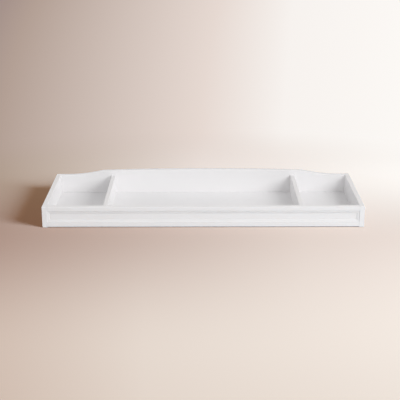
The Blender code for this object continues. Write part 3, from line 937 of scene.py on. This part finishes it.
def hole_outline(kind, radius, head_radius, length):
    """Half the outline of a screw's hole, with room for a flat head."""
    shank, head = radius + GAP, head_radius + GAP
    end = [(shank, -length * (1 - TIP_SHARE)), (0.0, -length - GAP)]
    if kind == "bracket":
        return [(0.0, ABOVE), (shank, ABOVE)] + end
    return [(0.0, ABOVE), (head, ABOVE), (head, 0.0), (shank, radius - head_radius)] + end


def boards_of(node):
    """The boards that a screw or dowel goes through, from its name."""
    side = node.split("_")[0]
    joined = next(found for words, found in JOINED if words in node)
    return [name.replace("*", side) for name in joined]


holes = {
    kind: turned(kind + "_hole", hole_outline(kind, SHANK[kind], *sizes), steps=20)
    for kind, sizes in screw_sizes.items()
}
drilled = 0
for node, (kind, aim) in seats.items():
    cutter = copy_to(holes[kind], "drill", aim)
    for name in boards_of(node):
        cut_away(boards[name], cutter, keep_cutter=True)
        drilled += 1
    bpy.data.objects.remove(cutter)
for hole in holes.values():
    bpy.data.objects.remove(hole)
print("holes drilled:", drilled)

# %% [markdown]
# ## Dowels
#
# A beech dowel has fluted sides that let the glue spread, and chamfered ends that find the
# hole. It starts as a flat circle, whose every second point is drawn in to make the flutes.
# The outline is then drawn up in three steps: a chamfer, the body and a chamfer.

# %% Model a dowel
FLUTES = 18
FLUTE_DEPTH_SHARE = 0.08
CHAMFER = 0.0008


def dowel(length, radius):
    """A fluted dowel along Z about the origin."""
    bpy.ops.object.select_all(action="DESELECT")
    bpy.ops.mesh.primitive_circle_add(
        vertices=2 * FLUTES, radius=radius, fill_type="NGON", location=(0.0, 0.0, -length / 2)
    )
    peg = bpy.context.object
    bpy.ops.object.transform_apply()
    bpy.ops.object.mode_set(mode="EDIT")
    bpy.ops.mesh.select_mode(type="VERT")
    bpy.ops.mesh.select_all(action="DESELECT")
    form = bmesh.from_edit_mesh(peg.data)
    for vertex in list(form.verts)[::2]:
        vertex.select_set(True)
    bmesh.update_edit_mesh(peg.data)
    inward = 1 - FLUTE_DEPTH_SHARE
    bpy.ops.transform.resize(value=(inward, inward, 1.0))
    bpy.ops.mesh.select_mode(type="FACE")
    bpy.ops.mesh.select_all(action="SELECT")
    narrow = (radius - CHAMFER) / radius
    bpy.ops.transform.resize(value=(narrow, narrow, 1.0))
    for rise, scale in ((CHAMFER, 1 / narrow), (length - 2 * CHAMFER, 1.0), (CHAMFER, narrow)):
        draw_out((0.0, 0.0, rise))
        bpy.ops.transform.resize(value=(scale, scale, 1.0))
    close_up()
    return peg


# %% [markdown]
# Each dowel's hole is drilled a little wider and longer than the dowel, which is then set in
# it. Dowels along X join the ends, and dowels along Y the dividers and the back.

# %% Drill for the dowels and set them
for node in [name for name in names if name.endswith("_dowel")]:
    low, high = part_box(node)
    size, middle = high - low, (low + high) / 2
    along_x = size.x > size.y
    length, radius = max(size.x, size.y), size.z / 2
    turn = Matrix.Rotation(math.radians(90), 4, "Y" if along_x else "X")
    aim = Matrix.Translation(middle) @ turn
    hole = [(0.0, length / 2 + GAP), (radius + GAP, length / 2 + GAP)]
    cutter = turned("drill", hole + [(r, -z) for r, z in reversed(hole)], steps=24)
    cutter.data.transform(aim)
    for name in boards_of(node):
        cut_away(boards[name], cutter, keep_cutter=True)
    bpy.data.objects.remove(cutter)
    peg = dowel(length, radius)
    peg.data.transform(aim)
    settle(peg, 25)
    hand_over(peg, node, beech_finish["X" if along_x else "Y"])
print("pieces so far:", len(made_pieces))

# %% [markdown]
# The boards have all their grooves and holes now, so they are shaded and painted. A later
# Boolean would spoil the shading.

# %% Hand over the boards
for node, board in boards.items():
    grain_axis = "Y" if node.endswith(("_end_panel", "_divider")) else "X"
    paint_board(board, node, grain_axis)
print("boards handed over:", len(boards))

# %% [markdown]
# ## The brackets
#
# Two small angles of zinc-plated strip screw the tray down to the dresser. On a real one the
# strip is bent over a former. The leg is a box, its lower face is spun through a quarter turn
# round the former's centre, and the face that comes out is drawn back as the foot. The free
# corners are rounded, and the holes are punched last.

# %% Model a bracket
STRIP, FORMER = 0.002, 0.002  # the strip's thickness and the former's radius
BEND_STEPS = 8
CORNER, STRIP_ARRIS = 0.004, 0.00025
PUNCH = 0.0023  # the holes' radius
FOOT_HOLE_BACK = 0.01216  # from the leg's front face

for node in ("left_bracket", "right_bracket"):
    low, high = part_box(node)
    bend = Vector((0.0, low.y + STRIP + FORMER, STRIP + FORMER))
    leg_high = (high.x, low.y + STRIP, high.z)
    bracket = start_box(node, (low.x, low.y, bend.z), leg_high)
    pick(bracket, lambda x, y, z: z < 0, mode="FACE")
    quarter = math.radians(-90)
    bpy.ops.mesh.spin(steps=BEND_STEPS, angle=quarter, center=bend, axis=(1.0, 0.0, 0.0))
    draw_out((0.0, high.y - bend.y, 0.0))
    close_up()
    round_edges(bracket, lambda x, y, z: x != 0 and (y == 1 or z == 1), CORNER)
    soften(bracket, STRIP_ARRIS)
    middle_x = (low.x + high.x) / 2
    places = [(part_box(n)[0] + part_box(n)[1]) / 2 for n in seats if n.startswith(node)]
    punches = [(Vector((middle_x, low.y, place.z)), BACKWARD) for place in places]
    foot_hole = Vector((middle_x, low.y + FOOT_HOLE_BACK, 0.0))
    punches.append((foot_hole, Matrix.Identity(4)))
    rim = [(0.0, ABOVE), (PUNCH, ABOVE), (PUNCH, -ABOVE), (0.0, -ABOVE)]
    for spot, turn in punches:
        cutter = turned("punch", rim, steps=32)
        cutter.data.transform(Matrix.Translation(spot) @ turn)
        cut_away(bracket, cutter)
    settle(bracket, 30)
    hand_over(bracket, node, zinc)

# %% [markdown]
# ## The pads
#
# Six soft discs carry the middle of the thin bottom. They are turned with a rounded lower rim
# and a shallow hollow underneath, which keeps them from sliding.

# %% Model the pads
pad_low, pad_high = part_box("underside_pad_1")
pad_radius, pad_height = (pad_high.x - pad_low.x) / 2, pad_high.z
PAD_RIM, PAD_RIM_STEPS = 0.0007, 4
PAD_HOLLOW, HOLLOW_MOUTH, HOLLOW_FLOOR = 0.0003, 0.6, 0.4  # its depth, and shares of the radius
rim_turns = [math.radians(90) * i / PAD_RIM_STEPS for i in range(PAD_RIM_STEPS + 1)]
pad_outline = [(0.0, pad_height), (pad_radius, pad_height)]
pad_outline += [
    (pad_radius - PAD_RIM * (1 - math.cos(t)), PAD_RIM * (1 - math.sin(t))) for t in rim_turns
]
pad_outline.append((HOLLOW_MOUTH * pad_radius, 0.0))
pad_outline += [(HOLLOW_FLOOR * pad_radius, PAD_HOLLOW), (0.0, PAD_HOLLOW)]
pad = turned("pad", pad_outline, steps=40)
for node in [name for name in names if name.startswith("underside_pad")]:
    low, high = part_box(node)
    spot = Vector(((low.x + high.x) / 2, (low.y + high.y) / 2, 0.0))
    copy = copy_to(pad, node, Matrix.Translation(spot))
    settle(copy, 35)
    hand_over(copy, node, rubber)
bpy.data.objects.remove(pad)
print("pieces made:", len(made_pieces), "of", len(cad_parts))

# %% [markdown]
# ## The floor
#
# The tray stands on a plain floor that reaches far behind it. The floor is a warm grey, and its
# colour darkens to the left: a painted fall-off of the light from the right. The colour runs
# from side to side in a fan that opens towards the back, in three depths, and the middle depth
# round the tray is darker still, as painted shade. Far from the tray the floor glows with
# painted light in its own colour, dark at the left and pale at the right, where the lamps no
# longer reach. All this is only for the camera's eye and for mirrors and glass: other rays
# meet one plain colour, so the floor doesn't tint the white paint.

# %% Lay the floor
FLOOR_SIZE, FLOOR_DROP = 60.0, 0.0002  # the drop keeps its face clear of the tray's
bpy.ops.object.select_all(action="DESELECT")
bpy.ops.mesh.primitive_plane_add(size=FLOOR_SIZE, location=(0.0, 0.0, -FLOOR_DROP))
floor = bpy.context.object
floor.name = "floor"
bpy.ops.object.transform_apply()
print("floor side:", FLOOR_SIZE)

# %% Name its colours and where they lie
# Each ramp runs from dark at the left to pale at the right, a painted fall-off of the light.
# MIDDLE, the depth round the tray, is the darkest, as painted shade.
FRONT = [(0.0, (0.46, 0.275, 0.17, 1.0)), (0.35, (0.52, 0.33, 0.21, 1.0))]
MIDDLE = [
    (0.0, (0.31, 0.16, 0.095, 1.0)),
    (0.75, (0.465, 0.283, 0.18, 1.0)),
    (1.0, (0.485, 0.297, 0.19, 1.0)),
]
BACK = [
    (0.0, (0.345, 0.20, 0.115, 1.0)),
    (0.5, (0.60, 0.39, 0.26, 1.0)),
    (1.0, (0.69, 0.475, 0.32, 1.0)),
]
PLAIN = (0.455, 0.325, 0.23, 1.0)
BLACK = (0.0, 0.0, 0.0, 1.0)
# GLOW is painted light on the far floor, dark at the left and near white at the right.
GLOW = [
    (0.0, (0.38, 0.29, 0.26, 1.0)),
    (0.08, (0.45, 0.35, 0.30, 1.0)),
    (0.54, (0.79, 0.69, 0.64, 1.0)),
    (0.73, (0.93, 0.89, 0.86, 1.0)),
    (1.0, (0.97, 0.94, 0.91, 1.0)),
]
FAN_START = 4.64  # metres in front of the tray's middle
FAN_RATE = 2.57
NEAREST = -2.0  # in front of this the fan no longer narrows
MIDDLE_TO_FRONT, MIDDLE_TO_BACK = (-0.25, -1.45), (-0.45, 0.7)  # places along Y
LIT_MIDDLE, LIT_REACH, GLOW_REACH = (0.0, -0.6, 0.0), 1.3, 2.1
GLOW_SHIFT, SHIFT_FADE = 0.11, 0.016  # the glow's dark side is lifted, and less far back
LEFT_GLOW, LEFT_RATE = -0.05, -0.5  # it brightens again beyond the picture's left side
PLAIN_GLOW, PLAIN_GLOW_REACH = 0.6, (0.0, -2.0)  # one tone of it in front of the tray
print("ramps:", len(FRONT), len(MIDDLE), len(BACK), len(GLOW))

# %% Mix the floor's finish
floor_finish = Finish("plain_floor")
spot = floor_finish.place()
across = floor_finish.node("ShaderNodeSeparateXYZ", {}, {"Vector": spot}, output="X")
along = floor_finish.node("ShaderNodeSeparateXYZ", {}, {"Vector": spot}, output="Y")
width = along.maths("MAXIMUM", along, NEAREST) + FAN_START
fan = width.maths("DIVIDE", across, width) * FAN_RATE + 0.5


def between(value, start, end):
    """0 before the start and 1 past the end, with a soft passage."""
    sockets = {"Value": value, "From Min": start, "From Max": end}
    return floor_finish.node("ShaderNodeMapRange", {"interpolation_type": "SMOOTHSTEP"}, sockets)


# The tone carries painted light: it darkens to the left, and more in the middle depth round the
# tray as painted shade.
front, middle, back = (
    floor_finish.node("ShaderNodeValToRGB", {"stops": stops}, {"Fac": fan})
    for stops in (FRONT, MIDDLE, BACK)
)
tone = floor_finish.blend(between(along, *MIDDLE_TO_FRONT), middle, front)
tone = floor_finish.blend(between(along, *MIDDLE_TO_BACK), tone, back)
in_front = between(along, *PLAIN_GLOW_REACH)
glow_fan = fan + (GLOW_SHIFT - along * SHIFT_FADE) * (1 - fan)
glow_fan = glow_fan.maths("MAXIMUM", glow_fan, fan * LEFT_RATE + LEFT_GLOW)
glow_fan = glow_fan * (1 - in_front) + in_front * PLAIN_GLOW
# The glow is painted light, an emission that only the camera, mirrors and glass see.
glow = floor_finish.node("ShaderNodeValToRGB", {"stops": GLOW}, {"Fac": glow_fan})
away = floor_finish.node(
    "ShaderNodeVectorMath", {"operation": "DISTANCE"}, {0: spot, 1: LIT_MIDDLE}, output="Value"
)
far = between(away, LIT_REACH, GLOW_REACH)
seen = floor_finish.seen_directly()
floor_finish.feed(
    base_color=floor_finish.blend(seen, PLAIN, floor_finish.blend(far, tone, BLACK)),
    emission_color=floor_finish.blend(seen * far, BLACK, glow),
    emission_strength=1.0,
    roughness=0.9,
    specular_ior_level=0.0,
)
floor.data.materials.append(floor_finish.material)
print("nodes in the floor's finish:", len(floor_finish.tree.nodes))

# %% [markdown]
# ## Light and world
#
# A wide soft lamp stands near the tray at the front right, so each wall throws a soft shadow
# to the left and the back, and the shadows grow longer towards the left. A sun would make
# them all alike. A near lamp would also leave the left end dark, which it isn't in the
# photograph, so the lamp is told not to fade with distance. Two weak fills stand at the
# front and low at the left, and the world adds an even grey.
#
# White paint needs so little light that the shadow on the floor stays faint. So a second lamp
# stands beside the first and is linked to the floor alone: it deepens the shadow and leaves
# the tray as it is. It is cold, because the shadow in the photograph is warmer than the
# surface round it. Where the floor ends, the camera, mirrors and glass see a warm pale
# backdrop, which doesn't light the tray either.

# %% Light the scene
WORLD_GREY = (0.515, 0.515, 0.515, 1.0)
BACKDROP = (0.82, 0.74, 0.69, 1.0)
COLD_WHITE = (0.28, 0.57, 1.0)


def soft_lamp(name, place, size, power, fades=True):
    """A round lamp of some size that looks at the tray's middle."""
    data = bpy.data.lights.new(name, "AREA")
    data.shape = "DISK"
    data.size = size
    data.energy = power
    if not fades:
        data.use_nodes = True
        recipe = Recipe(data.node_tree)
        even = recipe.node("ShaderNodeLightFalloff", {}, {"Strength": 1.0}, output="Constant")
        connect(recipe.tree, recipe.tree.nodes["Emission"].inputs["Strength"], even)
    lamp = bpy.data.objects.new(name, data)
    lamp.location = place
    lamp.rotation_euler = Vector(place).to_track_quat("Z", "Y").to_euler()
    lamp.visible_camera = False
    scene.collection.objects.link(lamp)
    return lamp


key = soft_lamp("key_softbox", (2.0, -1.5, 1.5), 1.7, 6.3, fades=False)
front_fill = soft_lamp("front_fill", (-0.6, -5.4, 2.6), 4.0, 42.0)
left_fill = soft_lamp("left_fill", (-5.6, -0.5, 1.6), 3.0, 56.0)
floor_key = soft_lamp("floor_key", (2.2, -1.65, 1.46), 1.45, 44.0, fades=False)
floor_key.data.color = COLD_WHITE
floor_only = bpy.data.collections.new("floor_only")
floor_only.objects.link(floor)
floor_key.light_linking.receiver_collection = floor_only

world = bpy.data.worlds.new("studio")
world.use_nodes = True
scene.world = world
sky = Recipe(world.node_tree)
background = sky.tree.nodes["Background"]
shown = sky.blend(sky.seen_directly(), WORLD_GREY, BACKDROP)
connect(sky.tree, background.inputs["Color"], shown)
background.inputs["Strength"].default_value = 1.0
scene.view_settings.view_transform = "Standard"
print("lamps:", [lamp.name for lamp in (key, front_fill, left_fill, floor_key)])
